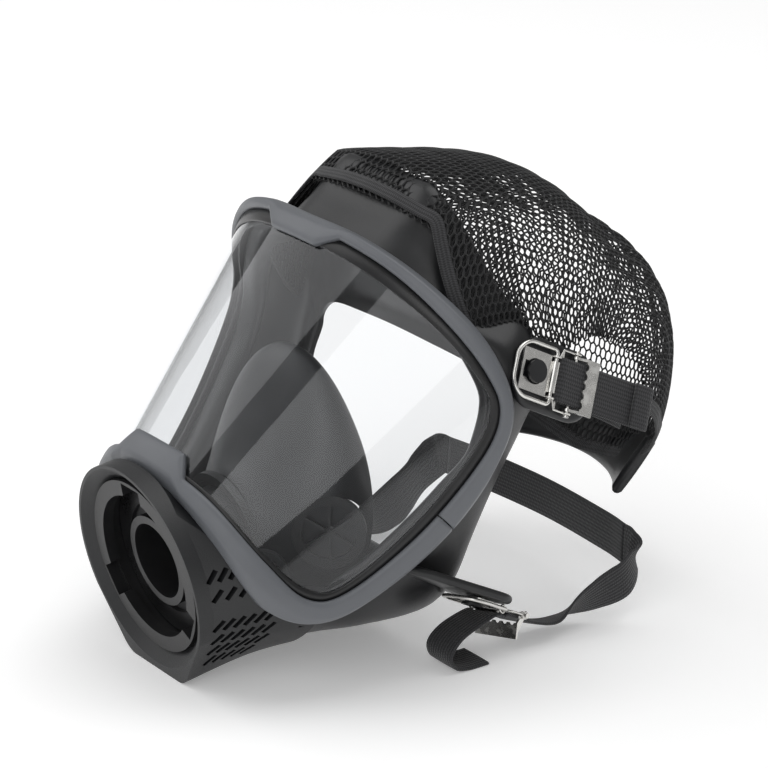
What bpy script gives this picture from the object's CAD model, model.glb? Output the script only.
# %% [markdown]
# # A full face respirator
# The mask is a rigid shell, a grey frame that clamps a clear lens, with soft parts behind it: a rubber skirt, a
# nose cup, webbing straps and a knitted hood. The rigid parts come from the CAD frame. This lesson rebuilds the
# moulded and soft ones as finer meshes in the same place, and gives every part a finish.

# %% Load the frame
import math

import bpy
import numpy as np
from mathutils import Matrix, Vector


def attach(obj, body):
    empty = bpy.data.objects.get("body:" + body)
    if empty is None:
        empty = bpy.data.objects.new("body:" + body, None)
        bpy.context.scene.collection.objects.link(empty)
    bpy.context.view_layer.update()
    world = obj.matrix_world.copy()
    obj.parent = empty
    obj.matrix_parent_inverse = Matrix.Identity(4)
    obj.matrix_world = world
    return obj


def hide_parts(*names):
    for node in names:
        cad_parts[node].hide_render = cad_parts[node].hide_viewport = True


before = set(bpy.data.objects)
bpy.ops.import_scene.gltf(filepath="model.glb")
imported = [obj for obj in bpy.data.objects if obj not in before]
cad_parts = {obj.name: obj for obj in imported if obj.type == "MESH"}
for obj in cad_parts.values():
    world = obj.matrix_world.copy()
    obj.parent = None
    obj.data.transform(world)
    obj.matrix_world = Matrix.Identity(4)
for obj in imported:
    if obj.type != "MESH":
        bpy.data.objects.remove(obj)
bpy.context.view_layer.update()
MM = 0.001
SHIFT_Y = -5.25         # the CAD's own shift along Y, in millimetres
print("CAD nodes:", len(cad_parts))

# %% [markdown]
# Shader maths reads best as sums. Signal wraps one socket, so that a + b or 1 - a adds the Math node for it.
# Finish is one material being built: its node method adds any node, and surface fills in the shader.


# %% Shader sums
class Signal:
    """A shader socket that can be used in sums."""

    def __init__(self, finish, socket):
        self.finish = finish
        self.socket = socket

    def maths(self, operation, *terms):
        return self.finish.node("ShaderNodeMath", {"operation": operation}, *terms)

    def __add__(self, other):
        return self.maths("ADD", self, other)

    __radd__ = __add__

    def __sub__(self, other):
        return self.maths("SUBTRACT", self, other)

    def __rsub__(self, other):
        return self.maths("SUBTRACT", other, self)

    def __mul__(self, other):
        return self.maths("MULTIPLY", self, other)

    __rmul__ = __mul__

    def sine(self):
        return self.maths("SINE", self)

    def above(self, level, soft=0.05):
        """1 where the signal is over the level, 0 where it is under, with a soft edge."""
        settings = {"interpolation_type": "SMOOTHSTEP"}
        return self.finish.node("ShaderNodeMapRange", settings, self, level - soft, level + soft)


# %% One finish
class Finish:
    """A procedural material, filled in node by node."""

    def __init__(self, name):
        self.material = bpy.data.materials.new(name)
        self.material.use_nodes = True
        self.tree = self.material.node_tree
        self.shader = self.tree.nodes["Principled BSDF"]

    def node(self, kind, settings, *values, out=0, **named):
        made = self.tree.nodes.new(kind)
        for key, value in settings.items():
            setattr(made, key, value)
        for key, value in list(enumerate(values)) + list(named.items()):
            if value is None:
                continue
            if isinstance(value, Signal):
                self.tree.links.new(value.socket, made.inputs[key])
            else:
                made.inputs[key].default_value = value
        return Signal(self, made.outputs[out])

    def place(self):
        return self.node("ShaderNodeTexCoord", {}, out="Object")

    def noise(self, scale, detail=3.0, rough=0.55):
        """Noise over the row's own metres, so a scale of 1000 gives grains of about a millimetre."""
        return self.node("ShaderNodeTexNoise", {}, self.place(), Scale=scale, Detail=detail, Roughness=rough)

    def mix(self, low, high, amount):
        return self.node("ShaderNodeMix", {"data_type": "RGBA"}, amount, None, None, None, None, None,
                         (*low, 1), (*high, 1), out=2)

    def lay(self, axis):
        """Millimetres across (0) or along (1) a strap, stored on its mesh."""
        place = self.node("ShaderNodeAttribute", {"attribute_name": "lay"}, out="Vector")
        split = self.tree.nodes.new("ShaderNodeSeparateXYZ")
        self.tree.links.new(place.socket, split.inputs[0])
        return Signal(self, split.outputs[axis])

    def bump(self, height, depth):
        return self.node("ShaderNodeBump", {}, Height=height, Distance=depth, Strength=0.8)

    def surface(self, **sockets):
        for key, value in sockets.items():
            socket = self.shader.inputs[key.replace("_", " ")]
            if isinstance(value, Signal):
                self.tree.links.new(value.socket, socket)
            else:
                socket.default_value = value
        return self.material


# %% [markdown]
# Moulded plastic is never one flat colour. A satin frame has a fine grain from the mould and a faint mottling;
# the housing is a coarser spark-eroded black that breaks up every highlight.


# %% Moulded finishes
def moulded(name, dark, light, rough, grain, depth):
    f = Finish(name)
    cloud = f.noise(60, 4)
    fine = f.noise(grain, 3)
    shine = rough + 0.14 * (fine - 0.5) + 0.1 * (cloud - 0.5)
    return f.surface(Base_Color=f.mix(dark, light, cloud), Roughness=shine,
                     Normal=f.bump(fine + 0.25 * cloud, depth))


frame_grey = moulded("satin grey frame", (0.105, 0.111, 0.122), (0.135, 0.142, 0.155), 0.42, 2600, 0.00006)
housing_black = moulded("matte black housing", (0.010, 0.0105, 0.0115), (0.019, 0.0195, 0.021), 0.46, 1900, 0.00012)
port_black = moulded("black port parts", (0.006, 0.006, 0.0065), (0.013, 0.013, 0.014), 0.4, 2400, 0.00006)
valve_grey = moulded("grey valve seat", (0.09, 0.094, 0.1), (0.13, 0.135, 0.142), 0.4, 2400, 0.00005)

# %% [markdown]
# Rubber is darker and softer in its shine than plastic. It carries a trace of bloom, the pale powder that gathers
# in broad patches, so both colour and roughness drift over it.


# %% Rubber finishes
def rubber(name, dark, light, rough, depth=0.00005):
    f = Finish(name)
    bloom = f.noise(38, 5, 0.6)
    fine = f.noise(3200, 2)
    return f.surface(Base_Color=f.mix(dark, light, bloom.above(0.52, 0.16)),
                     Roughness=rough + 0.16 * (bloom - 0.5) + 0.08 * (fine - 0.5),
                     Normal=f.bump(fine + 0.6 * bloom, depth), IOR=1.48)


face_rubber = rubber("satin black rubber", (0.007, 0.0073, 0.0082), (0.013, 0.0135, 0.015), 0.34)
cup_rubber = rubber("nose cup rubber", (0.012, 0.0125, 0.014), (0.022, 0.0225, 0.025), 0.42)
seal_rubber = rubber("black seal rubber", (0.006, 0.006, 0.0065), (0.012, 0.012, 0.013), 0.3)
flap_rubber = rubber("pale valve rubber", (0.42, 0.41, 0.38), (0.55, 0.54, 0.5), 0.35)

# %% [markdown]
# The buckles are stamped and bent steel with a nickel plating. Plating is bright where fingers polish it and
# duller in between, with fine drawn lines. The valve springs and screws share it.

# %% Nickel plate
f = Finish("nickel plate")
worn = f.noise(220, 5)
lines = f.noise(4200, 2)
nickel = f.surface(Base_Color=f.mix((0.62, 0.61, 0.585), (0.80, 0.79, 0.765), worn), Metallic=1.0,
                   Roughness=0.16 + 0.2 * worn.above(0.56, 0.1) + 0.08 * lines,
                   Normal=f.bump(worn + 0.5 * lines, 0.00003))

# %% [markdown]
# Webbing is a narrow weave: the warp runs along it in raised cords and the weft crosses them in short floats.
# Each strap's mesh stores how far a point is across and along it, so the weave follows every turn of the strap.

# %% Webbing finish
CORD_PITCH = 1.45       # millimetres between the warp cords
PICK_PITCH = 0.95       # and between the weft picks
TURN = 2 * math.pi
f = Finish("ribbed black webbing")
cords = (f.lay(0) * (TURN / CORD_PITCH)).sine()
picks = (f.lay(1) * (TURN / PICK_PITCH) + 1.6 * (f.lay(0) * (TURN / (2 * CORD_PITCH))).sine()).sine()
fuzz = f.noise(2600, 3)
weave = 0.5 + 0.32 * cords + 0.2 * picks + 0.3 * (fuzz - 0.5)
webbing_black = f.surface(Base_Color=f.mix((0.008, 0.008, 0.009), (0.034, 0.034, 0.037), weave), Roughness=0.82,
                          Normal=f.bump(weave, 0.00035), Sheen_Weight=0.15, Sheen_Roughness=0.5)

# %% [markdown]
# The hood is knitted from textured polyester yarn. At this scale each strand shows as a fuzzy dark cord, so the
# finish only needs colour that drifts from strand to strand and a very fine bump.

# %% Yarn finish
f = Finish("black net yarn")
drift = f.noise(300, 3)
twist = f.noise(5200, 2)
net_yarn = f.surface(Base_Color=f.mix((0.005, 0.005, 0.0055), (0.014, 0.014, 0.0155), drift),
                     Roughness=0.75 + 0.15 * (drift - 0.5), Normal=f.bump(twist, 0.00008), Sheen_Weight=0.1)

# %% [markdown]
# The lens is polycarbonate with a hard coat. Light passes almost unchanged and a mirror layer, stronger at a
# glancing angle, lies over it. Mixing a clear shader with a mirror by Fresnel keeps what is behind it readable.

# %% Lens finish
f = Finish("clear hard-coated lens")
f.surface(Base_Color=(0.97, 0.98, 1.0, 1), Metallic=1.0, Roughness=0.035)
clear = f.node("ShaderNodeBsdfTransparent", {}, (0.93, 0.935, 0.94, 1))
facing = f.node("ShaderNodeFresnel", {}, IOR=1.5)
front_only = 1 - f.node("ShaderNodeNewGeometry", {}, out="Backfacing")
haze = f.noise(12, 2)
joined = f.node("ShaderNodeMixShader", {}, (facing * 1.15 + 0.012 * haze) * front_only, clear,
                Signal(f, f.shader.outputs[0]))
f.tree.links.new(joined.socket, f.tree.nodes["Material Output"].inputs[0])
lens_clear = f.material
print("finishes:", len(bpy.data.materials))

# %% [markdown]
# Places on the mask are stated in a few local frames: the lens, whose surface is a slice of a leaning elliptic
# cone, and the left temple and lower buckles. A Place turns local millimetres into the row's metres.


# %% Local frames
class Place:
    """A local frame: origin, x, y and z directions, in row millimetres before the shift along Y."""

    def __init__(self, origin, x, z):
        self.origin = np.array(origin, float)
        self.z = np.array(z, float) / np.linalg.norm(z)
        x = np.array(x, float)
        x = x - self.z * x.dot(self.z)
        self.x = x / np.linalg.norm(x)
        self.y = np.cross(self.z, self.x)

    def out(self, local):
        p = np.asarray(local, float)
        world = self.origin + p[..., :1] * self.x + p[..., 1:2] * self.y + p[..., 2:3] * self.z
        return row(world)


def row(points):
    return (np.asarray(points, float) + (0, SHIFT_Y, 0)) * MM


LEAN = math.radians(41.2)
LENS = Place((0, -92, 86), (1, 0, 0), (0, -math.cos(LEAN), math.sin(LEAN)))
TEMPLE = Place((80.5, 14, 116.5), (0.04, 0.887, -0.46), (0.95, 0.1, 0.285))
LOWER = Place((61, 4, 25.5), (-0.1, 0.86, -0.5), (0.25, -0.45, -0.86))
LENS_HEIGHT = 95.7
FOOT_SIZE = np.array((70.7, 79.9))     # half width and depth of the lens surface at its foot
HEAD_SIZE = np.array((100.9, 98.2))    # and at its top
GIRTH = 90.0
LENS_WALL = 2.4
SEAM_V = 31.0


# %% The lens surface
def lens_local(w, v, proud):
    """Local point at distance w round the lens and height v, standing proud of its surface."""
    w, v, proud = np.broadcast_arrays(*(np.asarray(a, float) for a in (w, v, proud)))
    part = (v / LENS_HEIGHT)[..., None]
    half, depth = np.moveaxis(FOOT_SIZE + (HEAD_SIZE - FOOT_SIZE) * part, -1, 0)
    turn = w / GIRTH
    out_u, out_n = depth * np.sin(turn), half * np.cos(turn)
    size = np.hypot(out_u, out_n)
    u = half * np.sin(turn) + proud * out_u / size
    n = -depth * (1 - np.cos(turn)) + proud * out_n / size
    return np.stack((u, v, n), -1)


def smooth(points, steps, closed=False):
    """Catmull-Rom curve through points, with a number of steps for each span."""
    p = np.asarray(points, float)
    if closed:
        p = np.vstack((p[-1:], p, p[:2]))
    else:
        p = np.vstack((2 * p[0] - p[1], p, 2 * p[-1] - p[-2]))
    t = (np.arange(steps) / steps)[:, None]
    spans = []
    for a, b, c, d in zip(p[:-3], p[1:-2], p[2:-1], p[3:]):
        spans.append(0.5 * (2 * b + (c - a) * t + (2 * a - 5 * b + 4 * c - d) * t ** 2
                            + (3 * b - a - 3 * c + d) * t ** 3))
    if not closed:
        spans.append(p[-2:-1])
    return np.vstack(spans)


def taut(points, steps):
    """Closed curve through points that never swings past them, for rubber stretched flat."""
    p = np.asarray(points, float)
    rise = np.roll(p, -1, axis=0) - p
    before = np.roll(rise, 1, axis=0)
    product = before * rise
    total = np.where(product > 0, before + rise, 1.0)
    slope = np.where(product > 0, 2 * product / total, 0.0)
    t = (np.arange(steps) / steps)[:, None, None]
    ahead = np.roll(slope, -1, axis=0)
    curve = (p + slope * t + (3 * rise - 2 * slope - ahead) * t ** 2 + (slope + ahead - 2 * rise) * t ** 3)
    return curve.transpose(1, 0, 2).reshape(-1, p.shape[1])


# %% [markdown]
# Meshes come from a few helpers. piece makes an object with its finish, body and slot. grid_faces joins rows of
# points into a grid, capped closes its two ends, and modified applies a modifier at once.


# %% Mesh helpers
def piece(name, points, faces, finish, body="mask", lay=None):
    mesh = bpy.data.meshes.new(name)
    mesh.from_pydata([tuple(p) for p in np.asarray(points, float)], [], faces)
    mesh.update()
    mesh.shade_smooth()
    made = bpy.data.objects.new(name, mesh)
    bpy.context.scene.collection.objects.link(made)
    mesh.materials.append(finish)
    if lay is not None:
        mesh.attributes.new("lay", "FLOAT_VECTOR", "POINT").data.foreach_set("vector", np.ravel(lay))
    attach(made, body)
    print(name, len(mesh.vertices), "points")
    return made


def grid_faces(rows, columns, closed_rows=False, closed_columns=True, start=0):
    """Faces of a grid of points, row by row."""
    faces = []
    for i in range(rows if closed_rows else rows - 1):
        for j in range(columns if closed_columns else columns - 1):
            a, b = i, (i + 1) % rows
            c, d = j, (j + 1) % columns
            faces.append((start + a * columns + c, start + a * columns + d,
                          start + b * columns + d, start + b * columns + c))
    return faces


def capped(rows, columns, start=0):
    """Two end faces for an open tube of rows."""
    last = start + (rows - 1) * columns
    return [tuple(range(start + columns - 1, start - 1, -1)), tuple(range(last, last + columns))]


def modified(obj, kind, **settings):
    """Add a modifier and apply it at once."""
    modifier = obj.modifiers.new(kind.lower(), kind)
    for key, value in settings.items():
        setattr(modifier, key, value)
    graph = bpy.context.evaluated_depsgraph_get()
    made = bpy.data.meshes.new_from_object(obj.evaluated_get(graph))
    obj.modifiers.clear()
    old = obj.data
    obj.data = made
    bpy.data.meshes.remove(old)
    return obj


# %% [markdown]
# The frame, the gasket and the lens all share two outlines, one inside the other, drawn as distances round the
# lens and heights up it. At each angle round the eye point a section runs from the inner outline to the outer.

# %% Outlines
WINDOW = [(0, 91), (30, 90.5), (62, 86.5), (85, 80), (98, 73), (106, 56), (112, 24),
          (111.5, -6), (102, -14.5), (78, -12.8), (40, -5), (0, -3)]
FRAME_IN = [(0, 96), (38, 95), (66, 89.5), (89, 81.5), (102, 72.5), (110, 55), (116, 22),
            (114.5, -8), (104, -17.5), (80, -14.8), (40, -6.5), (0, -4.5)]
FRAME_OUT = [(0, 100.5), (28, 101), (56, 98), (82, 91), (104, 77.5), (116, 58), (124, 35),
             (127, 10), (124, -14), (114, -25), (98, -28.5), (80, -25.5), (55, -18.5),
             (28, -12.8), (0, -11.3)]
EYE_V = 45.0
OUTLINE_STEPS = 12
TOP_TAB = (((12, 90), (19.5, 94.5)), 1)         # tabs of the frame that reach over the lens
FOOT_TAB = (((19, 2.5), (27, -5)), -1)


def whole(points):
    """Smooth half outline, mirrored to a full one: angles round the eye point, and places."""
    half = np.asarray(points, float)
    full = np.vstack((half, half[-2:0:-1] * (-1, 1)))
    curve = smooth(full, OUTLINE_STEPS, closed=True)
    angle = np.unwrap(np.arctan2(curve[:, 0], curve[:, 1] - EYE_V))
    order = np.argsort(np.mod(angle, TURN))
    return np.mod(angle, TURN)[order], curve[order]


def outline(points, angles):
    """Place of an outline at each angle round the eye point, in full turns from the top."""
    known, curve = whole(points)
    return np.stack([np.interp(angles, known, curve[:, k], period=TURN) for k in (0, 1)], -1)


def with_tabs(inner):
    """Inner edge of the frame with its two tabs over the lens."""
    edge = inner.copy()
    for (tip, root), side in (TOP_TAB, FOOT_TAB):
        near = (np.abs(edge[:, 0]) < root[0]) & ((edge[:, 1] - EYE_V) * side > 0)
        ramp = np.clip((root[0] - np.abs(edge[:, 0])) / (root[0] - tip[0]), 0, 1)
        reached = edge[:, 1] + (tip[1] - edge[:, 1]) * ramp
        edge[:, 1] = np.where(near, reached, edge[:, 1])
    return edge


def rim(name, angles, inner, outer, profile, finish, slot, closed):
    """Rim whose profile gives (share of the way from inner to outer edge, height above the lens)."""
    share, height = np.array(profile, float).T
    place = inner[:, None] + (outer - inner)[:, None] * share[None, :, None]
    points = LENS.out(lens_local(place[..., 0], place[..., 1], height[None])).reshape(-1, 3)
    faces = grid_faces(len(angles), len(profile), closed_rows=closed)
    if not closed:
        faces += capped(len(angles), len(profile))
    return piece(name, points, faces, finish)


# %% [markdown]
# The frame's section is a broad satin face, a rounded inner lip and a sloping outer facet that catches the light.
# It is cut at the two side seams, where the upper half meets the lower.

# %% Frame halves
FRAME_SECTION = [(0, 0.5), (0, 1.9), (0.05, 2.6), (0.14, 3.1), (0.3, 3.3), (0.58, 3.3), (0.68, 3.1), (0.76, 2.4),
                 (0.95, 0.2), (1.0, -0.8), (1.0, -7.2), (0.97, -7.8), (0.6, -8), (0.5, -7.4), (0.5, 0.5)]
SEAM_GAP = 0.0022       # radians left open on each side of a seam
FRAME_CUTS = 260        # sections along each half of the frame
ROUND_CUTS = 420        # and once round the gasket and the lens
dense = np.linspace(0, math.pi, 2000)
seam = dense[np.argmax(outline(FRAME_OUT, dense)[:, 1] < SEAM_V)]
for name, start, end in (("frame_upper", -seam, seam), ("frame_lower", seam, TURN - seam)):
    angles = np.linspace(start + SEAM_GAP, end - SEAM_GAP, FRAME_CUTS)
    inner = with_tabs(outline(FRAME_IN, angles))
    half = rim(name + "_shell", angles, inner, outline(FRAME_OUT, angles), FRAME_SECTION, frame_grey,
               "frame_plastic", closed=False)
    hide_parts(name)

# %% [markdown]
# The gasket is a black lip that clamps the lens from both sides, so it is two rims: one on the face of the lens
# and one behind it. It shows as a black line between the frame and the clear window.

# %% Lens gasket
round_once = np.linspace(0, TURN, ROUND_CUTS, endpoint=False)
GASKET_FRONT = [(0, 0.03), (0.01, 0.45), (0.08, 0.7), (0.5, 0.8), (1.25, 1.0), (1.25, 0.03)]
GASKET_BACK = [(0, -2.43), (1.25, -2.43), (1.25, -3.9), (0.15, -3.6), (0.02, -3.1)]
edges = (outline(WINDOW, round_once), outline(FRAME_IN, round_once))
gasket = rim("gasket_face", round_once, *edges, GASKET_FRONT, seal_rubber, "gasket_rubber", closed=True)
rim("gasket_rear", round_once, *edges, GASKET_BACK, seal_rubber, "gasket_rubber", closed=True)
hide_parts("lens_gasket")

# %% [markdown]
# The lens is drawn as rings that grow from the middle of the window to its rim, once for each face, and joined at
# the edge. Because both faces come from the same formula, reflections run over it without a ripple.

# %% Lens
RINGS = 26
edge = outline(FRAME_IN, round_once)
growth = np.linspace(0.02, 1.006, RINGS)[:, None, None]
spread = np.array((0, EYE_V)) + growth * (edge - (0, EYE_V))
front = lens_local(spread[..., 0], spread[..., 1], -0.02)
back = lens_local(spread[..., 0], spread[..., 1], -LENS_WALL)[::-1]
points = LENS.out(np.concatenate((front, back))).reshape(-1, 3)
faces = grid_faces(2 * RINGS, len(round_once)) + capped(2 * RINGS, len(round_once))
lens = piece("lens_sheet", points, faces, lens_clear)
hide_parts("lens")

# %% [markdown]
# The faceblank is one rubber moulding. Its skirt is a band of sections round the face: each starts inside the
# frame, bulges back over the cheek, turns at the rear rim and comes forward as the sealing lip.

# %% Faceblank skirt
SKIRT = [
    ((0, 96), (0, -6, 160), (0, 12, 171), (0, 13, 112)),
    ((24, 97), (24, -5, 160), (24, 12, 170.5), (22, 14, 111)),
    ((56, 94), (58, 2, 135), (54, 20, 138), (42, 17, 108)),
    ((80, 86), (74, 8, 124), (66, 24, 126), (52, 18, 104)),
    ((98, 76), (79.5, 7, 112), (74, 24, 110), (57, 18, 96)),
    ((110, 60), (78, 2, 94), (70, 18, 92), (55, 12, 84)),
    ((115, 40), (74, -8, 74), (66, 10, 72), (51, 8, 70)),
    ((119, 10), (66, -24, 48), (60, 2, 46), (45, 4, 52)),
]
CHIN = [
    ((55, -53.5, 38), (58, -34, 32), (54, 0, 31), (38, 3, 42)),
    ((43, -53.5, 22), (46, -36, 19), (42, -2, 18), (30, 3, 34)),
    ((24, -53.5, 12), (22, -36, 12), (20, -4, 12), (15, 2, 28)),
    ((0, -53.5, 11), (0, -36, 10.5), (0, -4, 10.5), (0, 2, 27)),
]
SKIRT_WALL = 2.5
stations = []
for (w, v), *rest in SKIRT:
    stations.append([LENS.out(lens_local(w * 0.99, v, h)) / MM - (0, SHIFT_Y, 0) for h in (-5, -11)] + list(rest))
for station in CHIN:
    stations.append([np.array(station[0]) + (0, -4, 0)] + list(station))
stations = np.array([[np.asarray(p, float) for p in s] for s in stations])
loop = np.concatenate((stations, stations[-2:0:-1] * (-1, 1, 1)))
round_face = taut(loop.reshape(len(loop), -1), 8).reshape(-1, 5, 3)
sections = np.array([smooth(s, 7) for s in round_face])
shape = sections.shape
skirt = piece("faceblank_skirt", row(sections).reshape(-1, 3),
              grid_faces(shape[0], shape[1], closed_rows=True, closed_columns=False), face_rubber)
modified(skirt, "SOLIDIFY", thickness=SKIRT_WALL * MM, offset=1.0, use_even_offset=False)
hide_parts("faceblank")

# %% [markdown]
# Ears and lugs are tongues of the same rubber that carry the buckles. A rounded slab with a bevelled edge is
# enough, sunk a little into the skirt at its root. A plain raised panel stands on the forehead flap.


# %% Slabs
def slab(name, place, centre, size, corner, thick, edge_round, finish, turn=0.0):
    """Slab with rounded corners, lying in a place with its top at the given local height."""
    across = []
    for sx, sy, start in ((1, 1, 0), (-1, 1, 90), (-1, -1, 180), (1, -1, 270)):
        for step in range(9):
            a = math.radians(start + step * 11.25)
            across.append((sx * (size[0] / 2 - corner) + corner * math.cos(a),
                           sy * (size[1] / 2 - corner) + corner * math.sin(a)))
    across = np.array(across)
    rows = []
    for level in np.linspace(0, math.pi, 9):
        inset = edge_round * (1 - math.sin(level))
        drop = thick / 2 * (1 - math.cos(level))
        shrink = 1 - inset / (np.array(size) / 2)
        rows.append(np.column_stack((across * shrink, np.full(len(across), -drop))))
    local = np.concatenate(rows)
    c, s = math.cos(math.radians(turn)), math.sin(math.radians(turn))
    spun = local @ np.array(((c, s, 0), (-s, c, 0), (0, 0, 1))) + centre
    faces = grid_faces(len(rows), len(across)) + capped(len(rows), len(across))
    return piece(name, place.out(spun), faces, finish)


def mirror_points(obj, name):
    """The same piece on the other side of the mask."""
    mesh = obj.data.copy()
    mesh.transform(((-1, 0, 0, 0), (0, 1, 0, 0), (0, 0, 1, 0), (0, 0, 0, 1)))
    mesh.flip_normals()
    made = bpy.data.objects.new(name, mesh)
    bpy.context.scene.collection.objects.link(made)
    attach(made, "mask")


ear = slab("temple_ear_left", TEMPLE, (11.5, 0, 0), (37, 26), 9.4, 3.4, 1.4, face_rubber)
lug = slab("cheek_lug_left", LOWER, (-14.5, -2, 0), (54, 25), 9, 3.4, 1.4, face_rubber, turn=8)
mirror_points(ear, "temple_ear_right")
mirror_points(lug, "cheek_lug_right")
BROW = Place((0, 3.4, 165.9), (1, 0, 0), (0, -0.52, 0.85))
slab("forehead_badge", BROW, (0, 0, 1.0), (26, 9), 2, 1.6, 0.5, face_rubber)

# %% [markdown]
# Straps run through places that were found for the CAD: a centre, and the direction across the strap. The route
# is smoothed, and a section with round edges and a slight crown is carried along it.


# %% Strap helper
def strap_points(stations, width, thick, crown=0.15, steps=10):
    rows = smooth([(*c, *a) for c, a in stations], steps)
    centre, across = rows[:, :3], rows[:, 3:]
    ahead = np.gradient(centre, axis=0)
    face = np.cross(ahead, across)
    face /= np.linalg.norm(face, axis=1, keepdims=True)
    side = np.cross(face, ahead)
    side /= np.linalg.norm(side, axis=1, keepdims=True)
    half, top = width / 2, thick / 2
    flat = np.linspace(-1, 1, 13)
    upper = [(x * (half - top * 0.7), top * (1 - crown * x * x)) for x in flat]
    turn = [((half - top * 0.7) + top * 0.7 * math.cos(a), top * 0.75 * math.sin(a)) for a in (0.7, 0, -0.7)]
    ring = np.array(upper + turn + [(-x, -z) for x, z in upper] + [(-x, -z) for x, z in turn])
    points = centre[:, None] + side[:, None] * ring[None, :, :1] + face[:, None] * ring[None, :, 1:]
    run = np.concatenate(((0,), np.cumsum(np.linalg.norm(np.diff(centre, axis=0), axis=1))))
    lay = np.stack(np.broadcast_arrays(ring[None, :, 0], run[:, None], 0.0 * run[:, None]), -1)
    return points, lay


def strap(name, runs, side=1, width=16.0, thick=1.3, finish=None):
    """One strap made of one or more runs of webbing."""
    points, lays, faces, start = [], [], [], 0
    for stations in runs:
        p, lay = strap_points(stations, width, thick)
        faces += grid_faces(len(p), p.shape[1], start=start) + capped(len(p), p.shape[1], start)
        points.append(p.reshape(-1, 3))
        lays.append(lay.reshape(-1, 3))
        start += p.shape[0] * p.shape[1]
    points = np.vstack(points) * (side, 1, 1)
    if side < 0:
        faces = [face[::-1] for face in faces]
    return piece(name, row(points), faces, finish or webbing_black, lay=np.vstack(lays))


def local_stations(place, stations):
    """Stations given in a buckle's own frame, across the strap along its y axis."""
    return [(tuple(place.out(c) / MM - (0, SHIFT_Y, 0)), tuple(place.y)) for c in stations]


# %% [markdown]
# At the temple the strap comes from under the hood, folds round the buckle's bar beneath the lever and leaves as
# a free tail, whose end is doubled over and stitched.

# %% Temple straps
TAIL = [(22, 0, 3.3), (15, 0, 3.3), (11.8, 0, 3.2), (10.1, 0, 2.0), (11.8, 0, 0.8), (17, 0, 0.8), (24, 0, 0.8),
        (32, 0, 0.6), (40, 0, -0.9), (48, 0, -3.0)]
TAIL_END = [(20, 0, 3.3), (27, 0, 3.5), (35, 0, 3.9), (44, 0, 4.5), (50, 0, 4.9), (52.4, 0, 5.8), (50.5, 0, 6.8),
            (44, 0, 6.4)]
for side, word in ((1, "left"), (-1, "right")):
    tail = strap(f"temple_free_end_{word}", [local_stations(TEMPLE, TAIL_END)], side=side)
    inner_run = strap(f"temple_pull_{word}", [local_stations(TEMPLE, TAIL)], side=side)
    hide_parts(f"temple_tail_{word}")
    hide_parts(f"temple_strap_{word}")

# %% [markdown]
# The lower strap leaves its open buckle as a slack loop that touches the floor, then runs back and turns on edge
# to meet the nape band. Both are the same webbing.


# %% Lower straps and nape band
def lower_point(x, z):
    return tuple(LOWER.out((x, 0, z)) / MM - (0, SHIFT_Y, 0))


CROSS = (0.965, 0.21, 0.17)
LOWER_RUN = [(lower_point(11.4, 3.2), CROSS), (lower_point(19, 3.1), CROSS), (lower_point(29, 2.9), CROSS),
             ((59, 40, 6), (0.95, 0, 0.3)), ((60, 50, 9), (0.7, 0, 0.7)), ((63, 60, 13), (0.35, 0, 0.9)),
             ((66, 70, 18), (0.1, 0, 1)), ((64, 76.4, 24), (0, 0.05, 1)), ((60.5, 77.4, 27), (0, 0.05, 1)),
             ((56.6, 78, 27), (0, 0.05, 1))]
LOWER_LOOP = [(lower_point(11.4, 3.5), CROSS), (lower_point(10, 4.4), CROSS), (lower_point(5, 5.4), CROSS),
              ((60, -5, 13.5), (0.97, 0.1, 0.1)), ((60, -10.5, 8), (1, 0, 0)), ((60, -8.8, 2.6), (1, 0, 0)),
              ((60, -3, 0.8), (1, 0, 0)), ((60, 6, 0.8), (1, 0, 0))]
for side, word in ((1, "left"), (-1, "right")):
    low = strap(f"lower_webbing_{word}", [LOWER_RUN, LOWER_LOOP], side=side)
    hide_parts(f"lower_strap_{word}")
ON_EDGE = (0, 0.05, 1)
NAPE = [((x, y, z), ON_EDGE) for x, y, z in ((56.2, 78, 27), (40, 81, 26.5), (0, 84, 26), (-40, 81, 26.5),
                                            (-56.2, 78, 27))]
nape = strap("nape_webbing", [NAPE])
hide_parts("nape_band")

# %% [markdown]
# The nape pad is a soft padded panel behind the hood. It follows the head, so its middle line is worked out from
# the same ellipsoid as the hood, a few millimetres further out.

# %% Nape pad
HEAD_CENTRE = np.array((0, 45, 95.0))
HEAD_RADII = np.array((76, 70, 76.0))
PAD_HEIGHT = 53.0
PAD_GAP = 4.8


def behind_net(x):
    share = 1 - (x / HEAD_RADII[0]) ** 2 - ((PAD_HEIGHT - HEAD_CENTRE[2]) / HEAD_RADII[2]) ** 2
    return (x, HEAD_CENTRE[1] + HEAD_RADII[1] * math.sqrt(share) + PAD_GAP, PAD_HEIGHT)


pad_places = [(behind_net(x), (0, 0.62, 0.79)) for x in (46, 36, 25, 12, 0, -12, -25, -36, -46)]
pad = strap("nape_cushion", [pad_places], width=27, thick=5.0, finish=face_rubber)
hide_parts("nape_pad")

# %% [markdown]
# The hood is a real net: hexagonal meshes laid out flat, then wrapped over the head from the brow to the nape.
# They crowd together towards the two temples, where the hood is gathered onto the straps, and a waist pulls it
# in behind the crown. The Wireframe modifier turns each edge into a strand, so every hole is open.


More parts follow.
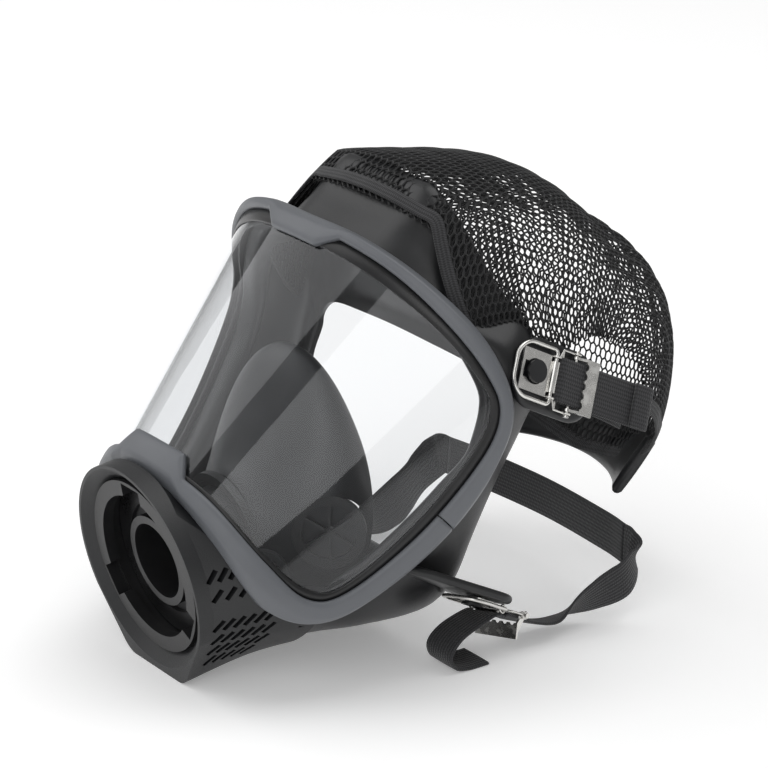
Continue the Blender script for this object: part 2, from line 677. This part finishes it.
# %% Net layout
def hex_sheet(width, length, pitch):
    """Flat honeycomb: points, and the faces of its cells."""
    side = pitch / math.sqrt(3)
    index, points, cells = {}, [], []
    for i in range(int(width / pitch) + 1):
        for j in range(int(length / (1.5 * side)) + 1):
            cx = -width / 2 + pitch * (i + 0.5 * (j % 2))
            cy = 1.5 * side * j
            cell = []
            for k in range(6):
                a = math.radians(60 * k + 30)
                x, y = cx + side * math.cos(a), cy + side * math.sin(a)
                key = (round(x * 20), round(y * 20))
                if key not in index:
                    index[key] = len(points)
                    points.append((x, y))
                cell.append(index[key])
            cells.append(cell)
    return np.array(points), cells


def front_edge(turn):
    """Angle of the hood's front edge over the head, in degrees, at a turn towards one side."""
    return np.interp(np.abs(turn), (0, 26, 47, 62, 80), (55, 55, 36, 24, 12))


def rear_edge(turn):
    return np.interp(np.abs(turn), (0, 30, 45, 60, 72, 80), (221, 218, 213, 204, 193, 184))


def on_head(turn, up, lift):
    """Point over the head at a turn to the side and an angle up and over from the brow, both in degrees."""
    t, u = np.radians(turn), np.radians(up)
    full = np.clip(np.cos(t), 0.001, 1) ** 0.7
    unit = np.stack((np.sin(t), -full * np.cos(u), full * np.sin(u)), -1)
    waist = np.exp(-((up - 132) / 13.0) ** 2) * np.clip(np.cos(t), 0, 1)
    crown = np.exp(-((up - 116) / 18.0) ** 2)
    lower = np.exp(-((up - 160) / 18.0) ** 2)
    pleats = (0.6 * waist + 0.25 * lower + 0.06) * np.sin(turn * 0.62 + 2.0 * np.sin(up * 0.05))
    brow = np.interp(up, (50, 57, 65, 72, 80, 92), (1.15, 1.16, 1.165, 1.10, 1.04, 1.0)) - 1
    brow = brow * np.interp(np.abs(turn), (0, 26, 47, 60), (1, 1, 0.35, 0))
    cheek = np.exp(-((np.abs(turn) - 47) / 14.0) ** 2 - ((up - 38) / 16.0) ** 2)
    radius = 1 - 0.075 * waist - 0.045 * crown + 0.012 * lower + 0.02 * pleats + 0.05 * cheek + brow
    return HEAD_CENTRE + unit * (HEAD_RADII * radius[..., None] + lift)


# %% Net hood
NET_PITCH = 3.3
NET_WIDTH = 214.0       # across the hood, from temple to temple
NET_LENGTH = 176.0      # from the brow to the nape
STRAND = 0.95


def wrapped(flat, lift):
    turn = flat[:, 0] / (NET_WIDTH / 2) * 77.0
    share = flat[:, 1] / NET_LENGTH
    up = front_edge(turn) + (rear_edge(turn) - front_edge(turn)) * share
    return on_head(turn, up, lift)


flat, cells = hex_sheet(NET_WIDTH, NET_LENGTH, NET_PITCH)
hood = piece("net_hood", row(wrapped(flat, 0.0)), cells, net_yarn)
modified(hood, "WIREFRAME", thickness=STRAND * MM, use_even_offset=False, use_relative_offset=False)
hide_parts("head_net")
print("hood strands:", len(hood.data.polygons), "faces")

# %% [markdown]
# Where the hood is sewn to the rubber it is doubled, and its front edge is bound with a narrow black tape.

# %% Doubled edge and binding
DOUBLE_LENGTH = 30.0
flat2, cells2 = hex_sheet(NET_WIDTH * 0.94, DOUBLE_LENGTH, NET_PITCH)
lining = piece("net_lining", row(wrapped(flat2 + (NET_PITCH / 2, 0.4), -1.3)), cells2, net_yarn)
modified(lining, "WIREFRAME", thickness=STRAND * MM, use_even_offset=False, use_relative_offset=False)
turns = np.linspace(-76, 76, 61)
for name, edge_of, nudge in (("front_binding", front_edge, 1.0), ("rear_binding", rear_edge, -1.0)):
    middle = on_head(turns, edge_of(turns) + nudge, 0.2)
    further = on_head(turns, edge_of(turns) + nudge + 4, 0.2)
    stations = [(tuple(a), tuple((b - a) / np.linalg.norm(b - a))) for a, b in zip(middle, further)]
    strap(name, [stations[::2]], width=5.0, thick=1.2)

# %% [markdown]
# The parts whose CAD shape is already right keep it and only take a finish.

# %% Finishes for the kept nodes
KEPT = {
    "component_housing": housing_black, "port_ring": port_black, "port_gasket": seal_rubber,
    "inhalation_tube": port_black, "speaking_diaphragm_cage": housing_black, "exhalation_valve_cover": port_black,
    "nose_cup_retainer": port_black, "nose_cup": cup_rubber, "speaking_diaphragm": nickel,
    "exhalation_spring": nickel, "frame_screws": nickel, "buckle_pins": nickel, "strap_studs": face_rubber,
}
for name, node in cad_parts.items():
    if name in KEPT:
        finish = KEPT[name]
    elif "nose_cup_valve_disc" in name:
        finish = cup_rubber
    elif "valve_disc" in name:
        finish = flap_rubber
    elif "nose_cup_valve_seat" in name:
        finish = port_black
    elif "valve_seat" in name:
        finish = valve_grey
    elif any(word in name for word in ("clip_plate", "d_ring", "bail", "lever")):
        finish = nickel
    else:
        finish = webbing_black
    node.data.materials.clear()
    node.data.materials.append(finish)

# %% [markdown]
# A studio table: a white floor that runs out of sight, a big soft light above and one in front on each side. The
# two side lights leave a gap between them, which crosses the lens as a dark streak. The sky looks white but gives
# little light, so black parts stay black.


# %% Floor, lights and camera
def studio_light(name, at, aim, size, watts):
    lamp = bpy.data.lights.new(name, "AREA")
    lamp.shape = "RECTANGLE"
    lamp.size, lamp.size_y = size
    lamp.energy = watts
    made = bpy.data.objects.new(name, lamp)
    made.location = at
    made.rotation_euler = (Vector(aim) - Vector(at)).to_track_quat("-Z", "Y").to_euler()
    bpy.context.scene.collection.objects.link(made)


floor_mesh = bpy.data.meshes.new("studio_floor")
floor_mesh.from_pydata([(-6, -6, 0), (6, -6, 0), (6, 6, 0), (-6, 6, 0)], [], [(0, 1, 2, 3)])
floor = bpy.data.objects.new("studio_floor", floor_mesh)
bpy.context.scene.collection.objects.link(floor)
f = Finish("studio white")
floor_mesh.materials.append(f.surface(Base_Color=(0.95, 0.95, 0.95, 1), Roughness=0.9, Specular_IOR_Level=0.0,
                                      Emission_Color=(1, 1, 1, 1), Emission_Strength=0.22))

SKY_LIGHT = 0.38        # strength of the sky as a light
SEEN_SKY = 1.0          # and as the camera sees it
middle = (0, 0, 0.09)
studio_light("left panel", (-1.25, -0.95, 1.3), middle, (2.0, 1.7), 13)
studio_light("right panel", (1.0, -1.5, 1.2), middle, (1.5, 1.5), 10)
studio_light("top", (0.1, 0.5, 1.9), middle, (1.6, 1.6), 14)
world = bpy.data.worlds.new("studio sky")
bpy.context.scene.world = world
world.use_nodes = True
sky = world.node_tree.nodes["Background"]
sky.inputs[0].default_value = (1, 1, 1, 1)
seen = world.node_tree.nodes.new("ShaderNodeLightPath")
brighter = world.node_tree.nodes.new("ShaderNodeMath")
brighter.operation = "MULTIPLY_ADD"
brighter.inputs[1].default_value = SEEN_SKY - SKY_LIGHT
brighter.inputs[2].default_value = SKY_LIGHT
world.node_tree.links.new(seen.outputs["Is Camera Ray"], brighter.inputs[0])
world.node_tree.links.new(brighter.outputs[0], sky.inputs[1])
bpy.context.scene.view_settings.view_transform = "Standard"

camera = bpy.data.cameras.new("camera")
camera.lens = 157.5
camera.sensor_width = 36
camera_at = bpy.data.objects.new("camera", camera)
AIM = Vector((40.05, -21.42 + SHIFT_Y, 107.08)) * MM
BACK = Vector((0.770, -0.539, 0.342)).normalized()
camera_at.location = AIM + BACK * 1.2
camera_at.rotation_euler = (-BACK).to_track_quat("-Z", "Y").to_euler()
bpy.context.scene.collection.objects.link(camera_at)
bpy.context.scene.camera = camera_at
